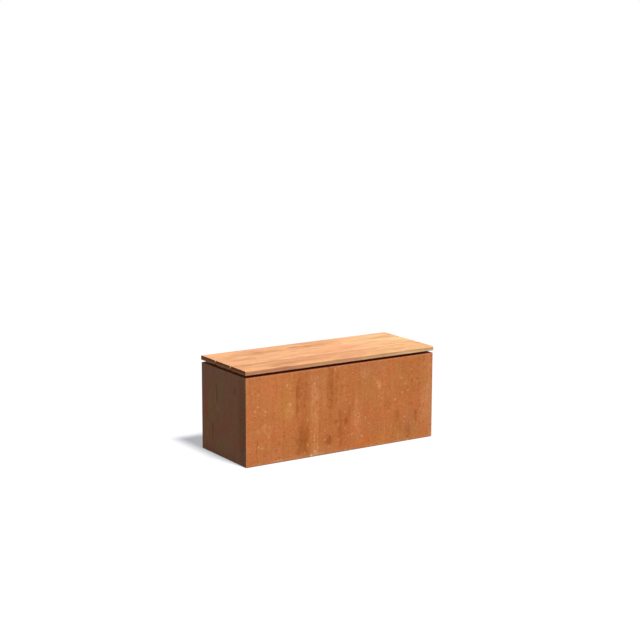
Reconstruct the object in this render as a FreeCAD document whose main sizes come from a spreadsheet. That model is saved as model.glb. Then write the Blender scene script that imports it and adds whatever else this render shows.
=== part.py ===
import FreeCAD, Part
import os
import re

import Sketcher

# Bench with planter: a weathering steel box that stands on the ground and holds
# soil, closed by a seat of three hardwood boards that lifts off.
# X runs along the seat, Y from front to rear and Z up. The origin is on the
# ground, under the middle of the box. All sizes are millimetres.

boards = ["front", "middle", "rear"]
bars = ["left", "middle", "right"]
sides = {"front": -1, "rear": 1}

driving_sizes = {
    # Steel box, outside
    "box_length": 1000,
    "box_depth": 390,
    "box_height": 400,
    # Folded wall sheet
    "wall_sheet": 3,
    "bend_radius": 1,
    "rim_width": 50,
    "rim_lip": 20,
    "foot_width": 45,
    # Ground anchor holes, through the foot of each long wall
    "anchor_hole": 12,
    "anchor_edge": 26,
    "anchor_end": 80,
    # Floor tray
    "floor_sheet": 3,
    "floor_play": 1.5,
    "floor_lip": 25,
    "drain_hole": 20,
    "drain_pitch": 300,
    "drain_edge": 105,
    # Tie between the long walls
    "tie_bar": 4,
    "tie_width": 30,
    "tie_tab": 35,
    "tie_level": 260,
    # Seat boards, which stand a little over the box all round
    "board_thickness": 20,
    "board_gap": 6,
    "board_round": 2,
    "seat_overhang": 2,
    # Cross bars under the boards
    "bar_width": 50,
    "bar_thickness": 8,
    "bar_inset": 20,
    "bar_round": 4,
    # Rubber pads between the cross bars and the rim
    "pad_thickness": 2,
    "pad_hole": 13,
    # Blocks that drop inside the rim
    "block_length": 40,
    "block_depth": 25,
    "block_height": 15,
    "block_chamfer": 3,
    "block_play": 2,
    # Countersunk screws, from the cross bars up into the boards
    "screw_shank": 5,
    "screw_head": 10,
    "screw_hole": 5.5,
    "screw_length": 23,
    "screw_edge": 35,
    "screw_socket": 3,
    "screw_socket_depth": 1.8,
    "thread_play": 0.05,
    "head_play": 0.1,
    "pilot_end": 1,
    # Cap screws, from the blocks up into the cross bars
    "cap_head": 8.5,
    "cap_height": 5,
    "cap_recess": 10,
    "cap_sink": 7,
    "cap_length": 15,
    "cap_socket": 4,
    "cap_socket_depth": 2.5,
}

derived_sizes = {
    "board_length": "box_length + 2 * seat_overhang",
    "board_width": f"(box_depth + 2 * seat_overhang - {len(boards) - 1} * board_gap) / {len(boards)}",
    "board_pitch": "board_width + board_gap",
    "screw_reach": "board_width / 2 - screw_edge",
    "bar_level": "box_height + pad_thickness",
    "seat_level": "bar_level + bar_thickness",
    "rim_opening": "box_depth / 2 - rim_width",
    "block_outer": "rim_opening - block_play",
    "block_middle": "block_outer - block_depth / 2",
    "bar_offset": "box_length / 2 - rim_width - block_play - block_length / 2",
    "pad_outer": "box_depth / 2 - bar_inset",
    "pad_inner": "rim_opening + bend_radius + wall_sheet",
    "floor_half_length": "box_length / 2 - wall_sheet - floor_play",
    "floor_half_depth": "box_depth / 2 - wall_sheet - floor_play",
    "tie_reach": "box_depth / 2 - wall_sheet",
    "anchor_x": "box_length / 2 - anchor_end",
    "anchor_y": "box_depth / 2 - anchor_edge",
    "drain_y": "box_depth / 2 - drain_edge",
}

doc = FreeCAD.newDocument("BenchWithPlanter")
sheet = doc.addObject("Spreadsheet::Sheet", "Sizes")
all_sizes = {**driving_sizes, **{name: "=" + formula for name, formula in derived_sizes.items()}}
for row, (name, content) in enumerate(all_sizes.items(), start=1):
    sheet.set(f"A{row}", name)
    sheet.set(f"B{row}", str(content))
    sheet.setAlias(f"B{row}", name)
doc.recompute()


def bound(expression):
    """Point every size that an expression names at its cell in the sheet."""
    return re.sub(r"[a-z_]+", lambda word: f"Sizes.{word[0]}" if word[0] in all_sizes else word[0],
                  expression)


def new_body(label, x="0", y="0", z="0", turn=0):
    """A sub-part, turned about Z by so many degrees and then moved."""
    body = doc.addObject("PartDesign::Body", label)
    body.Label = label
    body.Placement = FreeCAD.Placement(FreeCAD.Vector(), FreeCAD.Rotation(FreeCAD.Vector(0, 0, 1), turn))
    for axis, expression in zip("xyz", (x, y, z)):
        if expression != "0":
            body.setExpression(f"Placement.Base.{axis}", bound(expression))
    return body


def new_sketch(body, name, plane="XY_Plane", level="0"):
    """A sketch on one of the body's own origin planes, raised to a level."""
    sketch = body.newObject("Sketcher::SketchObject", name)
    origin_plane = next(item for item in body.Origin.OriginFeatures if item.Role == plane)
    sketch.AttachmentSupport = [(origin_plane, "")]
    sketch.MapMode = "FlatFace"
    if level != "0":
        sketch.setExpression("AttachmentOffset.Base.z", bound(level))
    return sketch


def pin_point(sketch, line, end, place):
    """Hold a point of the sketch at a pair of expressions."""
    for direction, axis, expression in (("X", -2, place[0]), ("Y", -1, place[1])):
        if expression == "0":
            sketch.addConstraint(Sketcher.Constraint("PointOnObject", line, end, axis))
        else:
            distance = Sketcher.Constraint("Distance" + direction, -1, 1, line, end, 1.0)
            index = sketch.addConstraint(distance)
            sketch.setExpression(f"Constraints[{index}]", bound(expression))


def add_polygon(sketch, places):
    """A closed outline through pairs of expressions."""
    first = sketch.GeometryCount
    count = len(places)
    turn = FreeCAD.Rotation(FreeCAD.Vector(0, 0, 1), 360 / count)
    start = FreeCAD.Vector(1, 0, 0)
    for _ in places:
        end = turn.multVec(start)
        sketch.addGeometry(Part.LineSegment(start, end))
        start = end
    for number, place in enumerate(places):
        following = first + (number + 1) % count
        sketch.addConstraint(Sketcher.Constraint("Coincident", first + number, 2, following, 1))
        pin_point(sketch, first + number, 1, place)


def add_rectangle(sketch, x_low, x_high, y_low, y_high):
    add_polygon(sketch, [(x_low, y_low), (x_high, y_low), (x_high, y_high), (x_low, y_high)])


def add_circle(sketch, place, diameter):
    circle = sketch.addGeometry(Part.Circle(FreeCAD.Vector(1, 1, 0), FreeCAD.Vector(0, 0, 1), 1))
    pin_point(sketch, circle, 3, place)
    index = sketch.addConstraint(Sketcher.Constraint("Radius", circle, 1.0))
    sketch.setExpression(f"Constraints[{index}]", bound(f"({diameter}) / 2"))


def add_hexagon(sketch, place, across_flats):
    x, y = place
    radius = f"({across_flats}) / 2 / cos(30)"
    corners = range(0, 360, 60)
    add_polygon(sketch, [(f"{x} + {radius} * cos({turn})", f"{y} + {radius} * sin({turn})")
                         for turn in corners])


def add_pad(body, sketch, length, both_ways=False, taper=0):
    pad = body.newObject("PartDesign::Pad", sketch.Name + "Pad")
    pad.Profile = sketch
    pad.setExpression("Length", bound(length))
    pad.TaperAngle = taper
    if both_ways:
        pad.SideType = "Symmetric"
    doc.recompute()
    return pad


def add_pocket(body, sketch, length=None):
    """A cut upwards from the sketch, through everything if no length is given."""
    before = body.Shape.Volume
    pocket = body.newObject("PartDesign::Pocket", sketch.Name + "Pocket")
    pocket.Profile = sketch
    pocket.Reversed = True
    if length is None:
        pocket.Type = "ThroughAll"
    else:
        pocket.setExpression("Length", bound(length))
    doc.recompute()
    if not body.Shape.Volume < before:
        raise ValueError(f"{body.Label}: {pocket.Name} cuts nothing")
    return pocket


def edges_through(shape, places):
    """Names of the edges on which one of the places lies."""
    points = [Part.Vertex(*place) for place in places]
    return [f"Edge{number}" for number, edge in enumerate(shape.Edges, start=1)
            if any(point.distToShape(edge)[0] < 0.001 for point in points)]


def add_dressing(body, kind, size, places):
    """A Fillet or a Chamfer of the edges that pass through the places."""
    base = body.Tip
    edges = edges_through(base.Shape, places)
    if len(edges) != len(places):
        raise ValueError(f"{body.Label}: {len(edges)} edges found for {len(places)} places")
    dressing = body.newObject(f"PartDesign::{kind}", f"{base.Name}{kind}")
    dressing.Base = (base, edges)
    dressing.setExpression("Radius" if kind == "Fillet" else "Size", bound(size))
    doc.recompute()
    return dressing


# Walls: each is one folded sheet with a rim and a lip at the top and a foot at
# the ground, mitred at the corners, where the real box is welded and ground flush.
def make_wall(label, length, depth, turn, anchored):
    """A wall of the given length, drawn as the front wall of a box of the given depth."""
    body = new_body(label, turn=turn)
    profile = new_sketch(body, f"{label}_profile", "YZ_Plane")
    face = f"-{depth} / 2"
    add_polygon(profile, [
        (face, "0"),
        (f"{face} + foot_width", "0"),
        (f"{face} + foot_width", "wall_sheet"),
        (f"{face} + wall_sheet", "wall_sheet"),
        (f"{face} + wall_sheet", "box_height - wall_sheet"),
        (f"{face} + rim_width - wall_sheet", "box_height - wall_sheet"),
        (f"{face} + rim_width - wall_sheet", "box_height - rim_lip"),
        (f"{face} + rim_width", "box_height - rim_lip"),
        (f"{face} + rim_width", "box_height"),
        (face, "box_height"),
    ])
    add_pad(body, profile, length, both_ways=True)

    outside = -getattr(sheet, depth) / 2
    inside = outside + sheet.wall_sheet
    lip_inside = outside + sheet.rim_width
    lip_outside = lip_inside - sheet.wall_sheet
    top = sheet.box_height
    under_rim = top - sheet.wall_sheet
    add_dressing(body, "Fillet", "bend_radius", [
        (0, inside, sheet.wall_sheet),
        (0, inside, under_rim),
        (0, lip_outside, under_rim),
    ])
    add_dressing(body, "Fillet", "bend_radius + wall_sheet", [
        (0, outside, 0),
        (0, outside, top),
        (0, lip_inside, top),
    ])

    mitres = new_sketch(body, f"{label}_mitres")
    reach = "(rim_width + foot_width)"
    for sign in ("-", ""):
        end = f"{sign}{length} / 2"
        inner_end = f"{sign}({length} / 2 - {reach})"
        add_polygon(mitres, [(end, face), (inner_end, f"{face} + {reach}"), (end, f"{face} + {reach}")])
    add_pocket(body, mitres)

    if anchored:
        anchors = new_sketch(body, f"{label}_anchors")
        for sign in ("-", ""):
            add_circle(anchors, (f"{sign}anchor_x", "-anchor_y"), "anchor_hole")
        add_pocket(body, anchors, "2 * wall_sheet")


make_wall("front_wall", "box_length", "box_depth", 0, anchored=True)
make_wall("right_end_wall", "box_depth", "box_length", 90, anchored=False)
make_wall("rear_wall", "box_length", "box_depth", 180, anchored=True)
make_wall("left_end_wall", "box_depth", "box_length", 270, anchored=False)


# Floor tray: a shallow pan that lies on the feet of the walls. Its edges turn up
# along the walls, and it has drain holes and the same anchor holes as the feet.
def make_floor_tray():
    body = new_body("floor_tray", z="wall_sheet")
    blank = new_sketch(body, "floor_blank")
    add_rectangle(blank, "-floor_half_length", "floor_half_length", "-floor_half_depth", "floor_half_depth")
    add_pad(body, blank, "floor_lip")

    hollow = new_sketch(body, "floor_hollow", level="floor_sheet")
    add_rectangle(hollow, "-floor_half_length + floor_sheet", "floor_half_length - floor_sheet",
                  "-floor_half_depth + floor_sheet", "floor_half_depth - floor_sheet")
    add_pocket(body, hollow)

    notches = new_sketch(body, "floor_notches")
    notch = "(floor_sheet + bend_radius)"
    for x_sign in ("-", ""):
        for y_sign in ("-", ""):
            add_rectangle(notches, f"{x_sign}floor_half_length", f"{x_sign}(floor_half_length - {notch})",
                          f"{y_sign}floor_half_depth", f"{y_sign}(floor_half_depth - {notch})")
    add_pocket(body, notches)

    outer_x, outer_y = sheet.floor_half_length, sheet.floor_half_depth
    inner_x, inner_y = outer_x - sheet.floor_sheet, outer_y - sheet.floor_sheet
    add_dressing(body, "Fillet", "bend_radius", [
        (-inner_x, 0, sheet.floor_sheet),
        (inner_x, 0, sheet.floor_sheet),
        (0, -inner_y, sheet.floor_sheet),
        (0, inner_y, sheet.floor_sheet),
    ])
    add_dressing(body, "Fillet", "bend_radius + floor_sheet", [
        (-outer_x, 0, 0),
        (outer_x, 0, 0),
        (0, -outer_y, 0),
        (0, outer_y, 0),
    ])

    holes = new_sketch(body, "floor_holes")
    for y_sign in ("-", ""):
        for x_sign in ("-", ""):
            add_circle(holes, (f"{x_sign}anchor_x", f"{y_sign}anchor_y"), "anchor_hole")
        for x in ("-drain_pitch", "0", "drain_pitch"):
            add_circle(holes, (x, f"{y_sign}drain_y"), "drain_hole")
    add_pocket(body, holes)


make_floor_tray()


# Wall tie: a flat bar on edge between the long walls at mid length. Its ends are
# folded the same way and lie flat against the walls, where they are welded.
def make_wall_tie():
    body = new_body("wall_tie", z="tie_level")
    plan = new_sketch(body, "tie_plan")
    add_polygon(plan, [
        ("-tie_bar / 2", "-tie_reach"),
        ("tie_tab", "-tie_reach"),
        ("tie_tab", "-tie_reach + tie_bar"),
        ("tie_bar / 2", "-tie_reach + tie_bar"),
        ("tie_bar / 2", "tie_reach - tie_bar"),
        ("tie_tab", "tie_reach - tie_bar"),
        ("tie_tab", "tie_reach"),
        ("-tie_bar / 2", "tie_reach"),
    ])
    add_pad(body, plan, "tie_width")

    half_bar = sheet.tie_bar / 2
    half_width = sheet.tie_width / 2
    reach = sheet.tie_reach
    add_dressing(body, "Fillet", "bend_radius", [
        (half_bar, sheet.tie_bar - reach, half_width),
        (half_bar, reach - sheet.tie_bar, half_width),
    ])
    add_dressing(body, "Fillet", "bend_radius + tie_bar", [
        (-half_bar, -reach, half_width),
        (-half_bar, reach, half_width),
    ])


make_wall_tie()

# Places of the screws across the seat: two in each board, the same distance in
# from both of its long edges.
screw_rows = [f"{step} * board_pitch {sign} screw_reach" for step in (-1, 0, 1) for sign in "-+"]
bar_places = dict(zip(bars, ("-bar_offset", "0", "bar_offset")))


# Seat boards: planed hardwood with rounded edges. Blind holes in the underside
# take the screws.
def make_board(name, step):
    body = new_body(f"seat_board_{name}", y=f"{step} * board_pitch", z="seat_level")
    outline = new_sketch(body, f"{name}_board_outline")
    add_rectangle(outline, "-board_length / 2", "board_length / 2", "-board_width / 2", "board_width / 2")
    add_pad(body, outline, "board_thickness")

    half_length = sheet.board_length / 2
    half_width = sheet.board_width / 2
    thickness = sheet.board_thickness
    long_edges = [(0, y, z) for y in (-half_width, half_width) for z in (0, thickness)]
    end_edges = [(x, 0, z) for x in (-half_length, half_length) for z in (0, thickness)]
    corner_edges = [(x, y, thickness / 2)
                    for x in (-half_length, half_length) for y in (-half_width, half_width)]
    add_dressing(body, "Fillet", "board_round", long_edges + end_edges + corner_edges)

    pilots = new_sketch(body, f"{name}_board_pilots")
    for x in bar_places.values():
        for y in ("-screw_reach", "screw_reach"):
            add_circle(pilots, (x, y), "screw_shank + 2 * thread_play")
    add_pocket(body, pilots, "screw_length - bar_thickness + pilot_end")


for step, name in zip((-1, 0, 1), boards):
    make_board(name, step)


# Cross bars: coated flat bars under the boards, with a countersunk hole for each
# board screw and a tapped hole for each block.
def make_cross_bar(name):
    body = new_body(f"cross_bar_{name}", x=bar_places[name], z="bar_level")
    outline = new_sketch(body, f"{name}_bar_outline")
    add_rectangle(outline, "-bar_width / 2", "bar_width / 2", "-pad_outer", "pad_outer")
    add_pad(body, outline, "bar_thickness")

    half_width = sheet.bar_width / 2
    half_height = sheet.bar_thickness / 2
    add_dressing(body, "Fillet", "bar_round", [(x, y, half_height)
                                               for x in (-half_width, half_width)
                                               for y in (-sheet.pad_outer, sheet.pad_outer)])

    screw_holes = new_sketch(body, f"{name}_bar_screw_holes")
    for y in screw_rows:
        add_circle(screw_holes, ("0", y), "screw_hole")
    add_pocket(body, screw_holes)
    hole_edges = [(-sheet.screw_hole / 2, step * sheet.board_pitch + sign * sheet.screw_reach, 0)
                  for step in (-1, 0, 1) for sign in (-1, 1)]
    add_dressing(body, "Chamfer", "(screw_head - screw_hole) / 2 + head_play", hole_edges)

    tapped_holes = new_sketch(body, f"{name}_bar_tapped_holes")
    for y in ("-block_middle", "block_middle"):
        add_circle(tapped_holes, ("0", y), "screw_shank + 2 * thread_play")
    add_pocket(body, tapped_holes)


# Board screws: six to a bar. The head narrows to the shank at 45 degrees and has
# a hexagon socket.
def make_board_screws(name):
    body = new_body(f"board_screws_{name}", x=bar_places[name], z="bar_level")
    heads = new_sketch(body, f"{name}_screw_heads")
    shanks = new_sketch(body, f"{name}_screw_shanks")
    sockets = new_sketch(body, f"{name}_screw_sockets")
    for y in screw_rows:
        add_circle(heads, ("0", y), "screw_head")
        add_circle(shanks, ("0", y), "screw_shank")
        add_hexagon(sockets, ("0", y), "screw_socket")
    add_pad(body, heads, "(screw_head - screw_shank) / 2", taper=-45)
    add_pad(body, shanks, "screw_length")
    add_pocket(body, sockets, "screw_socket_depth")


# Rest pads: rubber, glued under both ends of a cross bar, with a hole that leaves
# the outermost screw free. They lie on the flat of the rim.
def make_rest_pad(name, side):
    sign = sides[side]
    body = new_body(f"rest_pad_{name}_{side}", x=bar_places[name], z="box_height")
    outline = new_sketch(body, f"{name}_{side}_pad_outline")
    add_rectangle(outline, "-bar_width / 2", "bar_width / 2", f"{sign} * pad_inner", f"{sign} * pad_outer")
    add_circle(outline, ("0", f"{sign} * (board_pitch + screw_reach)"), "pad_hole")
    add_pad(body, outline, "pad_thickness")


# Locating blocks: plastic, one inside the rim at each end of a cross bar. The
# blocks of the end bars also stand inside the rim of the end walls.
def make_locating_block(name, side):
    sign = sides[side]
    body = new_body(f"locating_block_{name}_{side}", x=bar_places[name], z="bar_level")
    outline = new_sketch(body, f"{name}_{side}_block_outline", level="-block_height")
    add_rectangle(outline, "-block_length / 2", "block_length / 2",
                  f"{sign} * (block_outer - block_depth)", f"{sign} * block_outer")
    add_pad(body, outline, "block_height")

    half_length = sheet.block_length / 2
    outer = sign * sheet.block_outer
    inner = sign * (sheet.block_outer - sheet.block_depth)
    middle = sign * sheet.block_middle
    bottom = -sheet.block_height
    add_dressing(body, "Chamfer", "block_chamfer", [
        (0, outer, bottom),
        (0, inner, bottom),
        (-half_length, middle, bottom),
        (half_length, middle, bottom),
    ])

    hole = new_sketch(body, f"{name}_{side}_block_hole", level="-block_height")
    add_circle(hole, ("0", f"{sign} * block_middle"), "screw_hole")
    add_pocket(body, hole)
    recess = new_sketch(body, f"{name}_{side}_block_recess", level="-block_height")
    add_circle(recess, ("0", f"{sign} * block_middle"), "cap_recess")
    add_pocket(body, recess, "cap_sink")


# Block screws: two to a bar, each from the recess of a block up into the bar.
def make_block_screws(name):
    body = new_body(f"block_screws_{name}", x=bar_places[name], z="bar_level")
    seat = "cap_sink - block_height"
    shanks = new_sketch(body, f"{name}_cap_shanks", level=seat)
    heads = new_sketch(body, f"{name}_cap_heads", level=f"{seat} - cap_height")
    sockets = new_sketch(body, f"{name}_cap_sockets", level=f"{seat} - cap_height")
    for y in ("-block_middle", "block_middle"):
        add_circle(shanks, ("0", y), "screw_shank")
        add_circle(heads, ("0", y), "cap_head")
        add_hexagon(sockets, ("0", y), "cap_socket")
    add_pad(body, shanks, "cap_length")
    add_pad(body, heads, "cap_height")
    add_pocket(body, sockets, "cap_socket_depth")


for name in bars:
    make_cross_bar(name)
    make_board_screws(name)
    for side in sides:
        make_rest_pad(name, side)
        make_locating_block(name, side)
    make_block_screws(name)

doc.recompute()
failed = [item.Label for item in doc.Objects if {"Invalid", "Error"} & set(item.State)]
if failed:
    raise ValueError("these failed to build: " + ", ".join(failed))

bodies = [item for item in doc.Objects if item.isDerivedFrom("PartDesign::Body")]
for body in bodies:
    if body.Shape.isNull() or not body.Shape.isValid():
        raise ValueError(f"{body.Label} has no valid shape")

os.makedirs("parts", exist_ok=True)
for body in bodies:
    body.Shape.exportStep(f"parts/{body.Label}.step")
    box = body.Shape.BoundBox
    print(f"{body.Label}: {len(body.Shape.Solids)} solids, {body.Shape.Volume:.0f} mm3, "
          f"x {box.XMin:.1f} to {box.XMax:.1f}, y {box.YMin:.1f} to {box.YMax:.1f}, "
          f"z {box.ZMin:.1f} to {box.ZMax:.1f}")
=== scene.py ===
# Bench with planter: a folded weathering steel planter that stands on the ground, closed
# by a seat of three hardwood boards that lifts off. X runs along the seat, Y from front
# to rear and Z up, and every size is in metres.
import math
import random

import bpy
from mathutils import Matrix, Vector


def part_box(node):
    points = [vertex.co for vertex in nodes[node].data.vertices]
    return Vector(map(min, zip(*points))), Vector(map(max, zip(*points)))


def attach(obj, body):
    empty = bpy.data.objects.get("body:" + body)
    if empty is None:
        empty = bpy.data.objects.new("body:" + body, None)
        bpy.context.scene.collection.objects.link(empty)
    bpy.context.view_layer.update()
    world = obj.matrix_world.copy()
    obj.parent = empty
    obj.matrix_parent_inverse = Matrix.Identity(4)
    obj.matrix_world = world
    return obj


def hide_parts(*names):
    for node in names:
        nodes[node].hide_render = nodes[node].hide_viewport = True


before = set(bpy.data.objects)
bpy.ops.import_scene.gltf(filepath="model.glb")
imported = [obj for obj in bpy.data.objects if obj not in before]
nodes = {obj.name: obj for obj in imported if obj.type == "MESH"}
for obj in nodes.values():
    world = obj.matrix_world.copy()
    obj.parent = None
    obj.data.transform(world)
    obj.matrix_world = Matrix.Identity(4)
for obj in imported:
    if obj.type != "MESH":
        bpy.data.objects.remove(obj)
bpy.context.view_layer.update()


# Camera
# The bench is seen from its front left corner and a little above the seat.
camera_lens = bpy.data.cameras.new("camera")
camera_lens.sensor_width = 36
camera_lens.lens = 89.536
camera = bpy.data.objects.new("camera", camera_lens)
camera.location = (-3.8554, -5.9412, 1.9332)
camera.rotation_euler = [math.radians(turn) for turn in (79.118, -0.178, -32.984)]
bpy.context.scene.collection.objects.link(camera)
bpy.context.scene.camera = camera
bpy.context.scene.view_settings.view_transform = "Standard"


# Daylight
# A high sun behind thin cloud stands in front of the bench, and the sky fills the shade.
# What mirrors the surroundings sees them white.
def turned_towards(direction):
    """The rotation that points a lamp's own -Z along a direction."""
    return Vector(direction).to_track_quat("-Z", "Y").to_euler()


sun_height = math.radians(63)
sun_swing = math.radians(6.5)
sun_softness = math.radians(10)
sun_lamp = bpy.data.lights.new("sun", "SUN")
sun_lamp.energy = 4.78
sun_lamp.angle = sun_softness
sun = bpy.data.objects.new("sun", sun_lamp)
sun.rotation_euler = turned_towards((
    -math.sin(sun_swing) * math.cos(sun_height),
    math.cos(sun_swing) * math.cos(sun_height),
    -math.sin(sun_height),
))
bpy.context.scene.collection.objects.link(sun)


def add_node(tree, kind, inputs=None, **settings):
    """A node with its settings, and with numbers or other nodes' outputs on its inputs."""
    node = tree.nodes.new("ShaderNode" + kind)
    for name, value in settings.items():
        setattr(node, name, value)
    for name, value in (inputs or {}).items():
        if isinstance(value, bpy.types.NodeSocket):
            tree.links.new(value, node.inputs[name])
        else:
            node.inputs[name].default_value = value
    return node


def calculate(tree, operation, *values, clamp=False):
    """One sum on numbers or other nodes' outputs."""
    inputs = dict(enumerate(values))
    return add_node(tree, "Math", inputs, operation=operation, use_clamp=clamp).outputs[0]


def mix_colours(tree, share, first, second, blend="MIX"):
    """The first colour, with a share of the second mixed or multiplied in."""
    inputs = {0: share, 6: first, 7: second}
    return add_node(tree, "Mix", inputs, data_type="RGBA", blend_type=blend).outputs[2]


sky_fill = (0.135, 0.155, 0.210, 1)
white = (1, 1, 1, 1)
world = bpy.data.worlds.new("sky")
world.use_nodes = True
world.node_tree.nodes.clear()
rays = add_node(world.node_tree, "LightPath").outputs
seen = calculate(world.node_tree, "MAXIMUM", rays["Is Camera Ray"], rays["Is Glossy Ray"])
seen = calculate(world.node_tree, "MAXIMUM", seen, rays["Is Transmission Ray"])
sky_colour = mix_colours(world.node_tree, seen, sky_fill, white)
sky = add_node(world.node_tree, "Background", {"Color": sky_colour, "Strength": 1})
add_node(world.node_tree, "OutputWorld", {"Surface": sky.outputs[0]})
bpy.context.scene.world = world


# Ground
# A plain pale floor. It is white to the camera and in reflections, keeps the shadow of
# the bench, throws little light back up, and can't be seen from below.
def new_material(name, **values):
    """A material with one Principled shader: its node tree and the shader."""
    material = bpy.data.materials.new(name)
    material.use_nodes = True
    tree = material.node_tree
    tree.nodes.clear()
    inputs = {label.replace("_", " "): value for label, value in values.items()}
    shader = add_node(tree, "BsdfPrincipled", inputs)
    add_node(tree, "OutputMaterial", {"Surface": shader.outputs[0]})
    return material, tree, shader


def dress(piece, material):
    """Give a piece one material all over."""
    piece.data.materials.clear()
    piece.data.materials.append(material)


ground_width = 80
ground_seen = (0.435, 0.430, 0.443, 1)
ground_thrown_up = (0.10, 0.10, 0.10, 1)
ground_glow = 0.385
bpy.ops.object.select_all(action="DESELECT")
bpy.ops.mesh.primitive_plane_add(size=ground_width)
ground = bpy.context.object
ground.name = "ground"
ground_finish, tree, shader = new_material("pale floor", Roughness=1.0, Specular_IOR_Level=0,
                                           Emission_Color=white)
bounce = add_node(tree, "LightPath").outputs["Is Diffuse Ray"]
tree.links.new(mix_colours(tree, bounce, ground_seen, ground_thrown_up), shader.inputs["Base Color"])
glow = calculate(tree, "MULTIPLY", calculate(tree, "SUBTRACT", 1.0, bounce), ground_glow)
tree.links.new(glow, shader.inputs["Emission Strength"])
clear = add_node(tree, "BsdfTransparent")
underside = add_node(tree, "NewGeometry").outputs["Backfacing"]
either = add_node(tree, "MixShader", {0: underside, 1: shader.outputs[0], 2: clear.outputs[0]})
tree.links.new(either.outputs[0], tree.nodes["Material Output"].inputs["Surface"])
dress(ground, ground_finish)


# Front wall
# One sheet of weathering steel, 3 mm thick, folded to a rim and lip at the top and to a
# foot on the ground. Rain has drawn darker and lighter runs down its rust.
def new_group(name, inputs, outputs):
    """A shader node group: its tree, what it is given and what it puts out."""
    group = bpy.data.node_groups.new(name, "ShaderNodeTree")
    for label, kind, value in inputs:
        socket = group.interface.new_socket(label, in_out="INPUT", socket_type="NodeSocket" + kind)
        if value is not None:
            socket.default_value = value
    for label, kind in outputs:
        group.interface.new_socket(label, in_out="OUTPUT", socket_type="NodeSocket" + kind)
    given = group.nodes.new("NodeGroupInput").outputs
    result = group.nodes.new("NodeGroupOutput").inputs
    return group, given, result


def use_group(tree, group, **inputs):
    """The outputs of a group placed in a material with its own values."""
    node = tree.nodes.new("ShaderNodeGroup")
    node.node_tree = group
    for name, value in inputs.items():
        label = name.replace("_", " ")
        if isinstance(value, bpy.types.NodeSocket):
            tree.links.new(value, node.inputs[label])
        else:
            node.inputs[label].default_value = value
    return node.outputs


def vector_math(tree, operation, *values):
    """One sum on vectors or other nodes' outputs."""
    return add_node(tree, "VectorMath", dict(enumerate(values)), operation=operation).outputs[0]


def length_of(tree, vector):
    """How long a vector is."""
    return add_node(tree, "VectorMath", {0: vector}, operation="LENGTH").outputs["Value"]


def axes_of(tree, vector):
    """A vector's X, Y and Z."""
    return add_node(tree, "SeparateXYZ", {0: vector}).outputs


def object_place(tree):
    """Where the shaded point is, in the row frame."""
    return add_node(tree, "TexCoord").outputs["Object"]


def stretched(tree, place, scale, shift=(0, 0, 0)):
    """The place in a pattern's own lengths, moved along so that two patterns differ."""
    return add_node(tree, "Mapping", {"Vector": place, "Scale": scale, "Location": shift}).outputs[0]


def cloudy(tree, place, scale, detail=2.0, rough=0.5, swirl=0.0):
    """Noise between 0 and 1 that averages a half."""
    inputs = {"Vector": place, "Scale": scale, "Detail": detail, "Roughness": rough,
              "Distortion": swirl}
    return add_node(tree, "TexNoise", inputs).outputs["Fac"]


def jittered(tree, start, place, scale, detail, spread):
    """start moved about by noise, by up to half the spread either way along each axis."""
    noise = {"Vector": place, "Scale": scale, "Detail": detail}
    shift = vector_math(tree, "SUBTRACT", add_node(tree, "TexNoise", noise).outputs["Color"],
                        (0.5, 0.5, 0.5))
    return vector_math(tree, "ADD", start, vector_math(tree, "MULTIPLY", shift, spread))


def eased(tree, value, start, end):
    """0 before start and 1 after end, with a smooth rise between them."""
    inputs = {"Value": value, "From Min": start, "From Max": end}
    return add_node(tree, "MapRange", inputs, interpolation_type="SMOOTHSTEP").outputs[0]


def weighed(tree, start, *parts):
    """start plus each value's distance from a half, times its weight."""
    total = start
    for value, weight in parts:
        part = calculate(tree, "MULTIPLY_ADD", value, weight, -weight / 2)
        total = calculate(tree, "ADD", total, part)
    return total


pit_tint = (0.72, 0.58, 0.45, 1)
fleck_tint = (1.25, 1.60, 2.30, 1)
dark_grain = (0.90, 0.84, 0.74, 1)
pale_grain = (1.10, 1.16, 1.26, 1)
rust_patina, given, result = new_group(
    "rust patina",
    [("Place", "Vector", None), ("Marks", "Float", 0.0), ("Runs", "Float", 1.0),
     ("Hues", "Float", 0.5), ("Dark", "Color", None), ("Middle", "Color", None),
     ("Bright", "Color", None)],
    [("Colour", "Color"), ("Roughness", "Float"), ("Height", "Float")],
)
tree = rust_patina
place = given["Place"]
broad_runs = cloudy(tree, stretched(tree, place, (11, 11, 1.0)), 1, 3, 0.55)
fine_runs = cloudy(tree, stretched(tree, place, (75, 75, 4.5), (3, 1, 2)), 1, 2)
clouds = cloudy(tree, stretched(tree, place, (1, 1, 1), (7, 2, 5)), 17, 5, 0.62, 0.5)
blotches = cloudy(tree, stretched(tree, place, (1, 1, 0.7), (1, 8, 3)), 62, 3, 0.6)
runs = weighed(tree, 0.0, (broad_runs, 0.37), (fine_runs, 0.40))
tone = calculate(tree, "MULTIPLY_ADD", runs, given["Runs"], given["Marks"])
tone = calculate(tree, "ADD", tone, 0.5)
tone = weighed(tree, tone, (clouds, 0.36), (blotches, 0.56))
colour = mix_colours(tree, eased(tree, tone, 0.05, 0.52), given["Dark"], given["Middle"])
colour = mix_colours(tree, eased(tree, tone, 0.48, 0.95), colour, given["Bright"])
for size, spread, redder, paler in (
    (24, 0.15, (1.03, 0.94, 0.96, 1), (0.97, 1.06, 1.04, 1)),
    (9, 0.15, (1.02, 0.94, 0.97, 1), (0.98, 1.06, 1.03, 1)),
    (2.6, 0.16, (1.02, 0.94, 0.80, 1), (0.98, 1.06, 1.22, 1)),
):
    hue = cloudy(tree, stretched(tree, place, (1, 1, 0.6), (size, 4, 4)), size, 3)
    tint = mix_colours(tree, eased(tree, hue, 0.5 - spread, 0.5 + spread), redder, paler)
    colour = mix_colours(tree, given["Hues"], colour, tint, "MULTIPLY")
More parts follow.
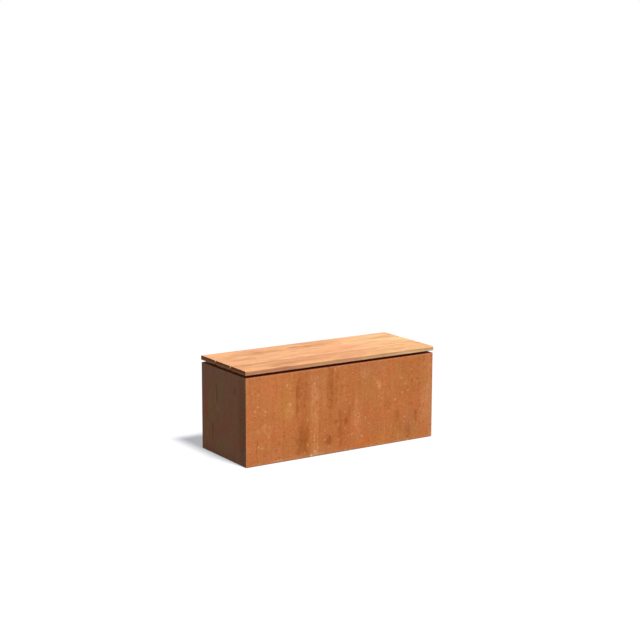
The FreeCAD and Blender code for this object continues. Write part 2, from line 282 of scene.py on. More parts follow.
speckle = cloudy(tree, stretched(tree, place, (1, 1, 1.6), (5, 5, 1)), 130, 2, 0.6)
grit = cloudy(tree, place, 330, 3, 0.7)
grain = weighed(tree, 0.5, (speckle, 2.0), (grit, 1.3))
tint = mix_colours(tree, eased(tree, grain, -0.1, 1.1), dark_grain, pale_grain)
colour = mix_colours(tree, 1.0, colour, tint, "MULTIPLY")
crowded = cloudy(tree, stretched(tree, place, (1, 1, 1), (3, 6, 9)), 7, 2)
frayed = jittered(tree, place, place, 260, 2, (0.012, 0.012, 0.012))


def spots(tree, place, scale, largest):
    """Spots of uneven sizes: each cell's middle, out to a share of the largest size."""
    cells = add_node(tree, "TexVoronoi", {"Vector": place, "Scale": scale})
    size = add_node(tree, "SeparateColor", {0: cells.outputs["Color"]}).outputs["Red"]
    size = calculate(tree, "MULTIPLY", calculate(tree, "MULTIPLY", size, size), largest)
    short = calculate(tree, "SUBTRACT", size, cells.outputs["Distance"])
    return eased(tree, short, 0.0, 0.08)


pits = spots(tree, stretched(tree, frayed, (1, 1, 1.5), (2, 9, 6)), 75, 0.40)
pits = calculate(tree, "MULTIPLY", pits, eased(tree, crowded, 0.62, 0.42))
colour = mix_colours(tree, pits, colour, pit_tint, "MULTIPLY")
flecks = spots(tree, stretched(tree, frayed, (1, 1, 1), (7, 1, 4)), 55, 0.44)
flecks = calculate(tree, "MULTIPLY", flecks, eased(tree, crowded, 0.42, 0.56))
colour = mix_colours(tree, flecks, colour, fleck_tint, "MULTIPLY")
tree.links.new(colour, result["Colour"])
tree.links.new(weighed(tree, 0.80, (grit, 0.30), (clouds, 0.2)), result["Roughness"])
relief = weighed(tree, 0.5, (grit, 0.5), (speckle, 0.4), (blotches, 0.5))
relief = calculate(tree, "MULTIPLY_ADD", pits, -0.5, relief)
tree.links.new(relief, result["Height"])

wandering, given, result = new_group("wandering", [("Place", "Vector", None)], [("Place", "Vector")])
tree = wandering
wandered = jittered(tree, given["Place"], stretched(tree, given["Place"], (1, 1, 0.5)), 14, 4,
                    (0.030, 0.030, 0.040))
tree.links.new(wandered, result["Place"])

patch_inputs = [("Place", "Vector", None), ("Centre", "Vector", None), ("Reach", "Vector", None),
                ("Strength", "Float", 1.0)]
soft_patch, given, result = new_group("soft patch", patch_inputs, [("Mask", "Float")])
tree = soft_patch
apart = vector_math(tree, "SUBTRACT", given["Place"], given["Centre"])
apart = vector_math(tree, "DIVIDE", apart, given["Reach"])
mask = eased(tree, length_of(tree, apart), 1.15, 0.35)
mask = calculate(tree, "MULTIPLY", mask, given["Strength"])
tree.links.new(mask, result["Mask"])

rain_run, given, result = new_group("rain run", patch_inputs, [("Mask", "Float")])
tree = rain_run
apart = vector_math(tree, "SUBTRACT", given["Place"], given["Centre"])
apart = vector_math(tree, "DIVIDE", apart, given["Reach"])
apart = axes_of(tree, vector_math(tree, "ABSOLUTE", apart))
aside = eased(tree, calculate(tree, "MAXIMUM", apart["X"], apart["Y"]), 1.15, 0.75)
above = eased(tree, apart["Z"], 1.10, 0.50)
mask = calculate(tree, "MULTIPLY", calculate(tree, "MULTIPLY", aside, above), given["Strength"])
tree.links.new(mask, result["Mask"])

wall_low, wall_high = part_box("front_wall")
sheet = 0.003
# Distances at which a mark on the sheet is none and full: the seams ground flush at the
# corners, the rim, its painted shade under the seat with its reach inwards, and the fold's painted
# highlight
seam_width = (0.0055, 0.0035)
rim_depth = (0.0016, 0.0004)
painted_shade_depth = (0.0028, 0.0008)
painted_shade_reach = (0.034, 0.004)
fold_highlight_start = (0.0020, 0.0040)
fold_highlight_end = (0.0120, 0.0060)
sheet_places, given, result = new_group(
    "sheet places", [("Place", "Vector", None)],
    [("Inside", "Float"), ("Seam", "Float"), ("Painted Shade", "Float"), ("Fold Highlight", "Float"), ("Rim", "Float")])
tree = sheet_places
along, across, up = axes_of(tree, given["Place"])
from_end = calculate(tree, "SUBTRACT", wall_high.x, calculate(tree, "ABSOLUTE", along))
from_face = calculate(tree, "SUBTRACT", -wall_low.y, calculate(tree, "ABSOLUTE", across))
from_top = calculate(tree, "SUBTRACT", wall_high.z, up)
from_outside = calculate(tree, "MINIMUM", from_end, from_face)
depth = calculate(tree, "MINIMUM", from_outside, from_top)
inside = eased(tree, depth, 0.4 * sheet, 0.6 * sheet)
mitre = calculate(tree, "ABSOLUTE", calculate(tree, "SUBTRACT", from_end, from_face))
seam = calculate(tree, "MULTIPLY", eased(tree, mitre, *seam_width),
                 calculate(tree, "SUBTRACT", 1.0, inside))
# Painted shade: the rim and the top of the bend darken towards the outer face, where the seat's shade
# falls.
painted_shade = calculate(tree, "MULTIPLY", eased(tree, from_top, *painted_shade_depth),
                 eased(tree, from_outside, *painted_shade_reach))
# Painted highlight: a paler band just below the top fold, where the bend catches the light.
fold_highlight = calculate(tree, "MULTIPLY", eased(tree, from_top, *fold_highlight_start),
                 eased(tree, from_top, *fold_highlight_end))
rim = eased(tree, from_top, *rim_depth)
for name, mask in (("Inside", inside), ("Seam", seam), ("Painted Shade", painted_shade), ("Fold Highlight", fold_highlight), ("Rim", rim)):
    tree.links.new(mask, result[name])

inside_tint = (0.46, 0.42, 0.44, 1)
rim_tint = (1.10, 0.88, 0.50, 1)
# The fold tint is a painted highlight.
painted_fold_highlight = (1.01, 1.08, 1.28, 1)
seam_mark = 0.10
# Two copies of one rust: one for the sunlit walls, and one darker and duller with painted shade for
# what stands in shade.
sunny_rust = ((0.405, 0.104, 0.0175, 1), (0.568, 0.180, 0.0465, 1), (0.715, 0.282, 0.104, 1))
painted_shade_rust = ((0.276, 0.100, 0.037, 1), (0.393, 0.165, 0.069, 1), (0.504, 0.229, 0.114, 1))


def masks_sum(tree, place, group, patches):
    """The sum of one group's masks over patches of a centre, a reach and a strength."""
    total = 0.0
    for centre, reach, strength in patches:
        mask = use_group(tree, group, Place=place, Centre=centre, Reach=reach, Strength=strength)
        total = calculate(tree, "ADD", mask["Mask"], total)
    return total


def tinted(tree, place, colour, tints):
    """A colour multiplied by a tint in each of some soft patches."""
    for centre, reach, tint in tints:
        mask = use_group(tree, soft_patch, Place=place, Centre=centre, Reach=reach)["Mask"]
        colour = mix_colours(tree, mask, colour, (*tint, 1), "MULTIPLY")
    return colour


def finish_shader(tree, shader, colour, roughness, height, depth, strength=1.0):
    """Give a shader its colour and roughness, and a relief of a depth in metres."""
    bump = add_node(tree, "Bump", {"Height": height, "Distance": depth, "Strength": strength})
    tree.links.new(colour, shader.inputs["Base Color"])
    tree.links.new(roughness, shader.inputs["Roughness"])
    tree.links.new(bump.outputs[0], shader.inputs["Normal"])


def weathering_steel(name, shift, rust, runs=1.0, run_marks=(), blots=(), tints=(),
                     hues=0.5, painted_shade=(0.22, 0.08, 0.03)):
    """Rusted steel: darker inside, redder on the rim and darkest with painted shade on the rim's outer
    edge, under the seat.

    It has a painted highlight just below the top fold and is a little brighter along the ground seams.
    """
    material, tree, shader = new_material(name, Specular_IOR_Level=0.3)
    place = object_place(tree)
    wandered = use_group(tree, wandering, Place=place)["Place"]
    parts = use_group(tree, sheet_places, Place=place)
    marks = calculate(tree, "MULTIPLY_ADD", parts["Seam"], seam_mark,
                      calculate(tree, "ADD", masks_sum(tree, wandered, rain_run, run_marks),
                                masks_sum(tree, wandered, soft_patch, blots)))
    patina = use_group(tree, rust_patina, Place=stretched(tree, place, (1, 1, 1), shift),
                       Marks=marks, Runs=runs, Hues=hues, Dark=rust[0], Middle=rust[1],
                       Bright=rust[2])
    colour = tinted(tree, wandered, patina["Colour"], tints)
    # Brow is painted shade under the seat, and Fold is a painted highlight below the top fold.
    for part, tint in (("Inside", inside_tint), ("Rim", rim_tint), ("Painted Shade", (*painted_shade, 1)),
                       ("Fold Highlight", painted_fold_highlight)):
        colour = mix_colours(tree, parts[part], colour, tint, "MULTIPLY")
    finish_shader(tree, shader, colour, patina["Roughness"], patina["Height"], depth=0.0006)
    return material


patch_depth = 0.1


def on_front(patches):
    """Patches outside on the front wall: centre and reach along X and Z in mm, and what to do."""
    return [((x / 1000, wall_low.y, z / 1000), (reach_x / 1000, patch_depth, reach_z / 1000), what)
            for x, z, reach_x, reach_z, what in patches]


front_runs = on_front([
    (-441, 60, 3, 75, -0.22),
    (-240, 275, 6, 105, -0.32),
    (-205, 215, 31, 230, -0.13),
    (-215, 75, 42, 85, -0.16),
    (-148, 170, 19, 230, 0.23),
    (-55, 300, 27, 110, -0.17),
    (10, 110, 38, 125, -0.16),
    (410, 115, 9, 30, -0.26),
    # Painted bounce light from the floor: the foot of the wall is brighter.
    (0, 2, 600, 14, 0.12),
])
front_blots = on_front([
    (-465, 210, 32, 190, 0.06),
    (-400, 155, 60, 35, 0.14),
    (-283, 225, 34, 62, 0.17),
    (-70, 60, 22, 24, -0.28),
    (-35, 140, 16, 14, -0.24),
    (22, 145, 16, 24, -0.26),
    (80, 150, 30, 120, 0.15),
    (120, 345, 55, 40, 0.13),
    (200, 290, 20, 26, 0.30),
    (240, 185, 30, 36, -0.16),
    (306, 110, 26, 75, -0.21),
    (366, 50, 20, 50, -0.22),
    (460, 150, 34, 120, 0.11),
])
front_tints = on_front([
    (-480, 230, 30, 190, (1.02, 0.95, 1.00)),
    (-430, 350, 150, 60, (1.05, 1.04, 1.02)),
    (-300, 250, 60, 110, (1.00, 1.07, 0.90)),
    (-50, 120, 240, 120, (0.98, 0.93, 0.85)),
    (150, 360, 90, 45, (0.97, 0.98, 1.10)),
    (190, 35, 130, 35, (1.05, 0.97, 0.80)),
    (370, 90, 60, 80, (0.94, 1.02, 1.14)),
    (475, 250, 42, 190, (1.03, 1.11, 1.22)),
    (-350, 290, 170, 120, (1.05, 1.04, 1.06)),
    (-60, 340, 70, 60, (1.04, 1.00, 0.96)),
    (60, 290, 90, 150, (0.99, 0.95, 0.90)),
    (310, 300, 80, 110, (0.97, 1.03, 1.09)),
    (-60, 245, 75, 50, (1.07, 1.02, 0.97)),
    (-240, 60, 230, 60, (0.95, 0.96, 0.92)),
    (290, 60, 190, 60, (0.95, 0.99, 0.98)),
    # Painted bounce light from the floor: the foot of the wall is paler and bluer.
    (0, 4, 600, 16, (0.97, 1.06, 1.20)),
    (490, 200, 14, 260, (1.04, 1.13, 1.22)),
])
dress(nodes["front_wall"], weathering_steel(
    "front rust", (0, 0, 0), sunny_rust, run_marks=front_runs, blots=front_blots, tints=front_tints))


# Left end wall
# The same folded sheet, mitred and welded to the long walls and ground flush outside. It
# stands in the shade, and its rust is a darker, duller copy with painted shade.
def on_left_end(patches):
    """Patches outside on the left end wall: centre and reach along Y and Z in mm, and what to do."""
    return [((-wall_high.x, y / 1000, z / 1000), (patch_depth, reach_y / 1000, reach_z / 1000), what)
            for y, z, reach_y, reach_z, what in patches]


left_runs = on_left_end([
    (61, 285, 6, 45, -0.35),
    (102, 105, 5, 50, -0.35),
    (-85, 287, 25, 2, 0.25),
])
left_blots = on_left_end([
    (54, 213, 14, 22, 0.32),
    (-98, 317, 24, 26, -0.24),
    (0, 330, 90, 60, 0.02),
    (-160, 200, 45, 250, -0.30),
])
left_tints = on_left_end([
    (155, 210, 18, 85, (1.16, 0.84, 0.90)),
    (105, 200, 38, 60, (0.97, 1.10, 0.80)),
    (150, 82, 14, 26, (0.90, 1.20, 1.00)),
    (32, 130, 60, 70, (1.07, 0.95, 1.14)),
    (38, 45, 40, 34, (0.95, 1.16, 0.88)),
    (-130, 90, 30, 40, (1.14, 0.92, 0.82)),
    (-165, 230, 22, 120, (0.92, 1.02, 0.88)),
    (20, 50, 190, 60, (1.06, 1.07, 1.10)),
])
# The left end takes the rust with painted shade, and a lighter painted shade on the rim's outer edge.
dress(nodes["left_end_wall"], weathering_steel(
    "left end rust", (5, 3, 1), painted_shade_rust, 0.8, left_runs, left_blots, left_tints, hues=1.0,
    painted_shade=(0.55, 0.38, 0.16)))


# Right end wall and rear wall
# The same two folded sheets of weathering steel again, turned round. They are mitred and
# welded like the others.
dress(nodes["right_end_wall"], weathering_steel("right end rust", (9, 1, 4), sunny_rust))
# The rear wall, in shade, takes the rust with painted shade.
dress(nodes["rear_wall"], weathering_steel("rear rust", (2, 7, 3), painted_shade_rust))


# Corner welds
# Rippled steel beads up the inside of the four mitred corners, from the floor tray to the
# rim. They hold the walls together and have rusted with them.
def select_only(piece):
    """Select one piece and make it the active one."""
    bpy.ops.object.select_all(action="DESELECT")
    piece.select_set(True)
    bpy.context.view_layer.objects.active = piece


bead_radius = 0.003
bead_ripple = 0.003
bead_swell = 1.16
bead_sides = 12
# A ripple's steps: the share of its length that each rises, and how much the bead grows
ripple_steps = ((0.3, bead_swell), (0.4, 1.0), (0.3, 1 / bead_swell))


def model_weld(start, end, radius):
    """A bead from start to end: a ring and its swell, repeated along it and closed."""
    run = Vector(end) - Vector(start)
    count = round(run.length / bead_ripple)
    ripple = run.length / count
    bpy.ops.object.select_all(action="DESELECT")
    bpy.ops.mesh.primitive_circle_add(vertices=bead_sides, radius=radius)
    bead = bpy.context.object
    bpy.ops.object.mode_set(mode="EDIT")
    bpy.ops.mesh.select_all(action="SELECT")
    for rise, growth in ripple_steps:
        bpy.ops.mesh.extrude_region_move(TRANSFORM_OT_translate={"value": (0, 0, rise * ripple)})
        bpy.ops.transform.resize(value=(growth, growth, 1))
    bpy.ops.object.mode_set(mode="OBJECT")
    repeat = bead.modifiers.new("ripples", "ARRAY")
    repeat.count = count
    repeat.use_relative_offset = False
    repeat.use_constant_offset = True
    repeat.constant_offset_displace = (0, 0, ripple)
    repeat.use_merge_vertices = True
    repeat.merge_threshold = 0.00001
    bpy.ops.object.modifier_apply(modifier=repeat.name)
    bpy.ops.object.mode_set(mode="EDIT")
    bpy.ops.mesh.select_all(action="SELECT")
    bpy.ops.mesh.fill_holes(sides=0)
    bpy.ops.mesh.normals_make_consistent(inside=False)
    bpy.ops.object.mode_set(mode="OBJECT")
    bead.location = start
    bead.rotation_euler = run.to_track_quat("Z", "Y").to_euler()
    bpy.ops.object.transform_apply(location=True, rotation=True, scale=True)
    bpy.ops.object.shade_smooth()
    return bead


# The welds take the rust with painted shade.
weld_rust = weathering_steel("weld rust", (4, 4, 4), painted_shade_rust, runs=0.0)


def finish_welds(name, beads):
    """One bead or several as one named piece of the planter."""
    weld = beads[0]
    select_only(weld)
    for bead in beads[1:]:
        bead.select_set(True)
    if len(beads) > 1:
        bpy.ops.object.join()
    weld.name = name
    dress(weld, weld_rust)
    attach(weld, "planter")


tray_low, tray_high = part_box("floor_tray")
corner_x = wall_high.x - 1.5 * sheet
corner_y = -wall_low.y - 1.5 * sheet
corner_start = tray_high.z + bead_radius
corner_end = wall_high.z - sheet - 0.001
for side_x, end_name in ((-1, "left"), (1, "right")):
    for side_y, face_name in ((-1, "front"), (1, "rear")):
        foot = (side_x * corner_x, side_y * corner_y, corner_start)
        head = (side_x * corner_x, side_y * corner_y, corner_end)
        finish_welds(f"corner_weld_{face_name}_{end_name}", [model_weld(foot, head, bead_radius)])


# Floor tray
# A pan of the same steel on the feet of the walls. Water has left a dark stain round each
# drain hole and soil has dried on the rest.
drain_pitch = 0.300
drain_row = 0.090
drain_stain = (0.30, 0.26, 0.28, 1)
dried_soil = (0.085, 0.052, 0.032, 1)
stain_reach = (0.045, 0.012)
stain_strength = 0.8
soil_cover = (0.46, 0.62)


def tray_steel():
    """Rusted steel with stains round the drain holes and dried soil on its upper side."""
    material, tree, shader = new_material("tray rust", Specular_IOR_Level=0.2)
    place = object_place(tree)
    # The tray takes the rust with painted shade.
    patina = use_group(tree, rust_patina, Place=stretched(tree, place, (1, 1, 1), (3, 3, 8)),
                       Runs=0.2, Dark=painted_shade_rust[0], Middle=painted_shade_rust[1], Bright=painted_shade_rust[2])
    wandered = use_group(tree, wandering, Place=place)["Place"]
    up = axes_of(tree, place)["Z"]
    upper = eased(tree, up, tray_low.z + 0.4 * sheet, tray_low.z + 0.6 * sheet)
    along, across = axes_of(tree, wandered)[:2]
    from_column = calculate(tree, "PINGPONG", along, drain_pitch / 2)
    from_row = calculate(tree, "SUBTRACT", calculate(tree, "ABSOLUTE", across), drain_row)
    from_hole = add_node(tree, "CombineXYZ", {0: from_column, 1: from_row}).outputs[0]
    stain = eased(tree, length_of(tree, from_hole), *stain_reach)
    stain = calculate(tree, "MULTIPLY", stain, stain_strength)
    stain = calculate(tree, "MULTIPLY", stain, upper)
    colour = mix_colours(tree, stain, patina["Colour"], drain_stain, "MULTIPLY")
    soil = cloudy(tree, stretched(tree, place, (1, 1, 1), (6, 2, 2)), 9, 6, 0.62)
    dried = calculate(tree, "MULTIPLY", eased(tree, soil, *soil_cover), upper)
    colour = mix_colours(tree, dried, colour, dried_soil)
    relief = weighed(tree, patina["Height"], (soil, 1.5))
    finish_shader(tree, shader, colour, patina["Roughness"], relief, depth=0.0008)
    return material


dress(nodes["floor_tray"], tray_steel())


# Tray welds
# Short steel beads along the top of the tray's turned-up edge, five on each long wall and
# three on each end wall, hold it to them.
stitch_length = 0.030
stitch_radius = 0.0022


def stitch(middle, direction, length=stitch_length, radius=stitch_radius):
    """A short bead, given its middle and the way that it runs."""
    half = Vector(direction) * length / 2
    return model_weld(Vector(middle) - half, Vector(middle) + half, radius)


edge_y = -wall_low.y - 1.25 * sheet
edge_x = wall_high.x - 1.25 * sheet
stitches_along = (-0.40, -0.20, 0.0, 0.20, 0.40)
stitches_across = (-0.12, 0.0, 0.12)
stitches = []
for side in (-1, 1):
    for x in stitches_along:
        stitches.append(stitch((x, side * edge_y, tray_high.z), (1, 0, 0)))
    for y in stitches_across:
        stitches.append(stitch((side * edge_x, y, tray_high.z), (0, 1, 0)))
finish_welds("tray_welds", stitches)


# Wall tie
# A flat bar on edge between the long walls at mid length. Each folded end is welded to its
# wall along the top and along the bottom.
# The tie takes the rust with painted shade.
dress(nodes["wall_tie"], weathering_steel("tie rust", (8, 6, 2), painted_shade_rust, runs=0.2))
tie_low, tie_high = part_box("wall_tie")
tie_fold = 0.008
tie_bead_radius = 0.002
tie_bead_inset = 0.001
tab_middle = (tie_fold + tie_high.x) / 2
tab_length = tie_high.x - tie_fold
finish_welds("tie_welds", [
    stitch((tab_middle, side * (tie_high.y - tie_bead_inset), z), (1, 0, 0), tab_length,
           tie_bead_radius)
    for side in (-1, 1) for z in (tie_low.z, tie_high.z)
])


# Cross bars
# Three flat steel bars under the boards, powder coated black. The coat has a fine orange
# peel and has rubbed thin along the edges.
edge_wear, given, result = new_group(
    "edge wear",
    [("Place", "Vector", None), ("Middle", "Vector", None), ("Half", "Vector", None),
     ("Width", "Float", 0.001)],
    [("Mask", "Float")],
)
tree = edge_wear
apart = vector_math(tree, "ABSOLUTE", vector_math(tree, "SUBTRACT", given["Place"], given["Middle"]))
x, y, z = axes_of(tree, vector_math(tree, "SUBTRACT", given["Half"], apart))
nearer = calculate(tree, "MINIMUM", x, y)
farther = calculate(tree, "MAXIMUM", x, y)
edge = calculate(tree, "MAXIMUM", nearer, calculate(tree, "MINIMUM", farther, z))
patchy = cloudy(tree, given["Place"], 90, 4, 0.6)
edge = calculate(tree, "DIVIDE", edge, given["Width"])
worn = weighed(tree, edge, (patchy, 3.0))
tree.links.new(eased(tree, worn, 0.9, 0.2), result["Mask"])


black_coat = (0.016, 0.016, 0.018, 1)
coat_dust = (0.085, 0.065, 0.050, 1)
worn_through = (0.17, 0.090, 0.050, 1)


def powder_coat(name, low, high):
    """Black powder coat on a bar between two corners, dusty and rubbed along its edges."""
    material, tree, shader = new_material(name)
    place = object_place(tree)
    worn = use_group(tree, edge_wear, Place=place, Middle=(low + high) / 2,
                     Half=(high - low) / 2, Width=0.0012)["Mask"]
    dust = cloudy(tree, place, 26, 5, 0.65)
    dusty = calculate(tree, "MULTIPLY", eased(tree, dust, 0.45, 0.75), 0.35)
    colour = mix_colours(tree, dusty, black_coat, coat_dust)
    colour = mix_colours(tree, worn, colour, worn_through)
    peel = cloudy(tree, place, 1100, 2, 0.5)
    roughness = weighed(tree, 0.45, (dust, 0.3))
    finish_shader(tree, shader, colour, roughness, peel, depth=0.0001, strength=0.6)
    return material


bars = ("left", "middle", "right")
for bar in bars:
    node = f"cross_bar_{bar}"
    dress(nodes[node], powder_coat(f"{bar} bar coat", *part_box(node)))


# Rest pads
# Black rubber pads, 2 mm thick, under both ends of each bar. They lie on the flat of the
# rim and have picked up its rust dust.
black_rubber = (0.014, 0.014, 0.015, 1)
rust_dust = (0.090, 0.048, 0.028, 1)


def pad_rubber():
    """Matt black rubber with rust dust on it."""
    material, tree, shader = new_material("pad rubber", Specular_IOR_Level=0.3)
    place = object_place(tree)
    dust = cloudy(tree, place, 70, 5, 0.7)
    dusty = calculate(tree, "MULTIPLY", eased(tree, dust, 0.45, 0.70), 0.5)
    colour = mix_colours(tree, dusty, black_rubber, rust_dust)
    skin = cloudy(tree, place, 1500, 2, 0.5)
    roughness = weighed(tree, 0.82, (dust, 0.2))
    finish_shader(tree, shader, colour, roughness, skin, depth=0.0001, strength=0.8)
    return material


sides = ("front", "rear")
rubber = pad_rubber()
for bar in bars:
    for side in sides:
        dress(nodes[f"rest_pad_{bar}_{side}"], rubber)


# Seat boards
# Planed hardwood, 20 mm thick, with rounded edges, screwed to the bars from below. The
# grain runs along the boards, and drying has opened fine checks in their ends.
pore_colour = (0.22, 0.085, 0.035, 1)
plank_grain, given, result = new_group(
    "plank grain",
    [("Place", "Vector", None), ("Heart", "Vector", None), ("Ring Gap", "Float", 0.006),
     ("Marks", "Float", 0.0), ("Light", "Color", None), ("Dark", "Color", None)],
    [("Colour", "Color"), ("Roughness", "Float"), ("Height", "Float")],
)
tree = plank_grain
place = given["Place"]
from_heart = vector_math(tree, "SUBTRACT", place, given["Heart"])
from_heart = vector_math(tree, "MULTIPLY", from_heart, (0, 1, 1))
from_heart = jittered(tree, from_heart, stretched(tree, place, (1.7, 6, 6)), 1, 2, (0, 0.05, 0.05))
rings = calculate(tree, "DIVIDE", length_of(tree, from_heart), given["Ring Gap"])
age = calculate(tree, "FRACT", rings)
late_wood = eased(tree, age, 0.15, 0.85)
late_wood = calculate(tree, "MULTIPLY", late_wood, eased(tree, age, 1.0, 0.9))
broad = cloudy(tree, stretched(tree, place, (2.6, 9, 9), (4, 4, 1)), 1, 3, 0.5)
bands = cloudy(tree, stretched(tree, place, (6.5, 30, 30), (1, 5, 2)), 1, 4, 0.62)
fibres = cloudy(tree, stretched(tree, place, (13, 160, 160), (2, 2, 7)), 1, 4, 0.65)
pores = cloudy(tree, stretched(tree, place, (28, 900, 900), (6, 1, 3)), 1, 2, 0.6)
depth = calculate(tree, "MULTIPLY_ADD", late_wood, 0.28, 0.21)
depth = weighed(tree, depth, (broad, 1.2), (bands, 2.0), (fibres, 1.7))
depth = calculate(tree, "ADD", depth, given["Marks"], clamp=True)
colour = mix_colours(tree, depth, given["Light"], given["Dark"])
for stretch, pinker, yellower in (
    ((3.5, 15, 15), (1.01, 0.945, 0.96, 1), (1.0, 1.035, 0.94, 1)),
    ((16, 30, 30), (1.01, 0.975, 0.99, 1), (1.0, 1.015, 0.94, 1)),
):
    hue = cloudy(tree, stretched(tree, place, stretch, (9, 4, 4)), 1, 2)
    tint = mix_colours(tree, eased(tree, hue, 0.35, 0.65), pinker, yellower)
    colour = mix_colours(tree, 1.0, colour, tint, "MULTIPLY")
open_pores = calculate(tree, "MULTIPLY", eased(tree, pores, 0.60, 0.70), 0.35)
colour = mix_colours(tree, open_pores, colour, pore_colour)
tree.links.new(colour, result["Colour"])
tree.links.new(weighed(tree, 0.62, (fibres, 0.3)), result["Roughness"])
relief = weighed(tree, 0.5, (fibres, 0.6))
relief = calculate(tree, "MULTIPLY_ADD", open_pores, -0.8, relief)
tree.links.new(relief, result["Height"])

seat_low, seat_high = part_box("seat_board_front")
seat_side = -seat_low.y
wood_light = (0.700, 0.370, 0.190, 1)
wood_dark = (0.420, 0.180, 0.075, 1)
# Tints of the wood towards the right, and of the boards' edges low and high, left and right
tone_at_right = (1.08, 1.24, 1.25)
edge_low, edge_high = (1.06, 1.13, 1.30, 1), (0.94, 0.90, 0.90, 1)
edge_left, edge_right = (0.93, 0.87, 0.86, 1), (1.12, 1.21, 1.22, 1)
# Painted light on the faces between the boards: shade low in the gaps and a highlight along their
# tops.
painted_joint_shade, painted_joint_highlight = (0.30, 0.20, 0.13, 1), (1.20, 1.40, 1.80, 1)
end_low, end_high = (0.78, 0.72, 0.58, 1), (0.36, 0.23, 0.10, 1)
rougher_at_ends = 0.16
# Where those tints change: up a board, along the seat, out from its middle, and as a face turns
mid_height = (seat_high.z - 0.0100, seat_high.z - 0.0080)
band_height = (seat_high.z - 0.0130, seat_high.z - 0.0110)
tone_change = (0.02, 0.45)
edge_change = (-0.35, 0.40)
outer_edge = (0.075, 0.085)
face_turn = (0.5, 0.9)


def hardwood(name, shift, heart, tone, marks=(), tints=()):
    """Oiled hardwood, cut from a log whose heart runs along X beside or under the board."""
    material, tree, shader = new_material(name, Specular_IOR_Level=0.25)
    place = object_place(tree)
    wandered = use_group(tree, wandering, Place=place)["Place"]
    grain = use_group(tree, plank_grain, Place=stretched(tree, place, (1, 1, 1), shift),
                      Heart=Vector(heart) + Vector(shift),
                      Marks=masks_sum(tree, wandered, soft_patch, marks),
                      Light=wood_light, Dark=wood_dark)
    along, across, up = axes_of(tree, place)
    at_right = [part * growth for part, growth in zip(tone, tone_at_right)]
    colour = mix_colours(tree, eased(tree, along, *tone_change), (*tone, 1), (*at_right, 1))
    colour = mix_colours(tree, 1.0, grain["Colour"], colour, "MULTIPLY")
    colour = tinted(tree, wandered, colour, tints)
    facing = vector_math(tree, "ABSOLUTE", add_node(tree, "TexCoord").outputs["Normal"])
    facing = axes_of(tree, facing)
    upper = eased(tree, up, *mid_height)
    above_band = eased(tree, up, *band_height)
    edge_tint = mix_colours(tree, above_band, edge_low, edge_high)
    edge_drift = mix_colours(tree, eased(tree, along, *edge_change), edge_left, edge_right)
    edge_tint = mix_colours(tree, 1.0, edge_tint, edge_drift, "MULTIPLY")
    # Painted shade low and a painted highlight high on the faces between boards.
    painted_joint_light = mix_colours(tree, upper, painted_joint_shade, painted_joint_highlight)
    outer = eased(tree, calculate(tree, "ABSOLUTE", across), *outer_edge)
    edge_tint = mix_colours(tree, outer, painted_joint_light, edge_tint)
    long_edge = eased(tree, facing["Y"], *face_turn)
    colour = mix_colours(tree, long_edge, colour, edge_tint, "MULTIPLY")
    end_grain = eased(tree, facing["X"], *face_turn)
    end_tint = mix_colours(tree, upper, end_low, end_high)
    colour = mix_colours(tree, end_grain, colour, end_tint, "MULTIPLY")
    roughness = calculate(tree, "MULTIPLY_ADD", end_grain, rougher_at_ends, grain["Roughness"])
    finish_shader(tree, shader, colour, roughness, grain["Height"], depth=0.0003)
    return material


roundings = (("outer", 0.005), ("inner", 0.003), ("underside", 0.002), ("ends", 0.001))
rounding_steps = 4
slack = 0.0001


def select_edges(board, low, high, part):
    """Select a board's outer or inner long edges at the top, or those below or at its ends."""
    bpy.ops.object.mode_set(mode="EDIT")
    bpy.ops.mesh.select_mode(type="EDGE")
    bpy.ops.mesh.select_all(action="DESELECT")
    bpy.ops.object.mode_set(mode="OBJECT")
    for edge in board.data.edges:
        first, second = [board.data.vertices[corner].co for corner in edge.vertices]
        if abs(first.x - second.x) < slack:
            edge.select = part == "ends"
        elif part in ("outer", "inner"):
            outer = abs(first.y) > seat_side - slack
            edge.select = min(first.z, second.z) > high.z - slack and outer == (part == "outer")
        elif part == "underside":
            edge.select = max(first.z, second.z) < low.z + slack


def model_board(name, low, high):
    """A planed board between two corners, rounded most along its top and least at its ends."""
    bpy.ops.object.select_all(action="DESELECT")
    bpy.ops.mesh.primitive_cube_add(size=1, location=(low + high) / 2, scale=high - low)
    board = bpy.context.object
    board.name = name
    bpy.ops.object.transform_apply(location=True, rotation=True, scale=True)
    for part, reach in roundings:
        select_edges(board, low, high, part)
        if not any(edge.select for edge in board.data.edges):
            continue
        bpy.ops.object.mode_set(mode="EDIT")
        bpy.ops.mesh.bevel(offset=reach, segments=rounding_steps, affect="EDGES")
        bpy.ops.object.mode_set(mode="OBJECT")
    return board


check_overshoot = 0.001


def open_check(board, end, side, y, length, width, depth):
    """Cut a wedge into a board's end, open at the end face and at the top."""
    bpy.ops.object.select_all(action="DESELECT")
    bpy.ops.mesh.primitive_cylinder_add(vertices=3, radius=1, depth=2 * depth)
    wedge = bpy.context.object
    wedge.scale = (width / math.sqrt(3), length / 1.5, 1)
    wedge.rotation_euler.z = side * math.pi / 2
    wedge.location = (end - side * (length / 3 - check_overshoot), y, seat_high.z)
    select_only(board)
    cut = board.modifiers.new("check", "BOOLEAN")
    cut.object = wedge
    cut.operation = "DIFFERENCE"
    cut.solver = "EXACT"
    bpy.ops.object.modifier_apply(modifier=cut.name)
    select_only(wedge)
    bpy.ops.object.delete()


def along_board(patches):
    """Patches on top of the seat: centre and reach along X and Y in mm, and what to do."""
    return [((x / 1000, y / 1000, seat_high.z), (reach_x / 1000, reach_y / 1000, patch_depth), what)
            for x, y, reach_x, reach_y, what in patches]


